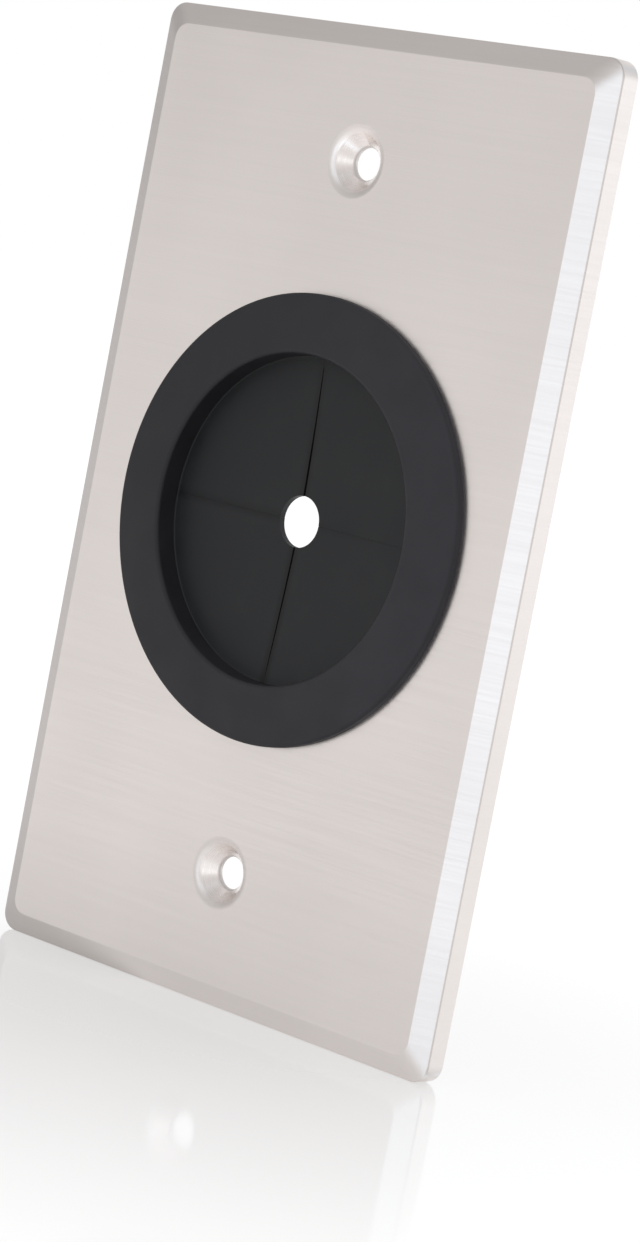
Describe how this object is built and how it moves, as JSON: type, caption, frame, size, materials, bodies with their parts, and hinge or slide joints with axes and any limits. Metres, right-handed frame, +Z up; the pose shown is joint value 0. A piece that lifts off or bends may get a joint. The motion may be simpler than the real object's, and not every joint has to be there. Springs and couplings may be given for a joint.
{
  "type": "grommet wall plate",
  "caption": "Bevelled brushed metal wall plate with countersunk screw holes and a round black rubber grommet whose slit membrane lets cables pass through the wall.",
  "frame": {"origin": "the point of the wall surface behind the centre of the plate, in the plane of the plate's rear rim", "axes": "+Z up the wall, +Y into the wall, +X to the right as seen from the room; the front faces -Y"},
  "size_m": [0.0698, 0.0055, 0.1142],
  "materials": {
    "plate_metal": "fine brushing along the width, clear satin",
    "grommet_rubber": "moulded black rubber, matt to satin"
  },
  "bodies": {
    "root": {"wall_plate": "plate_metal", "cable_grommet": "grommet_rubber"}
  },
  "joints": []
}
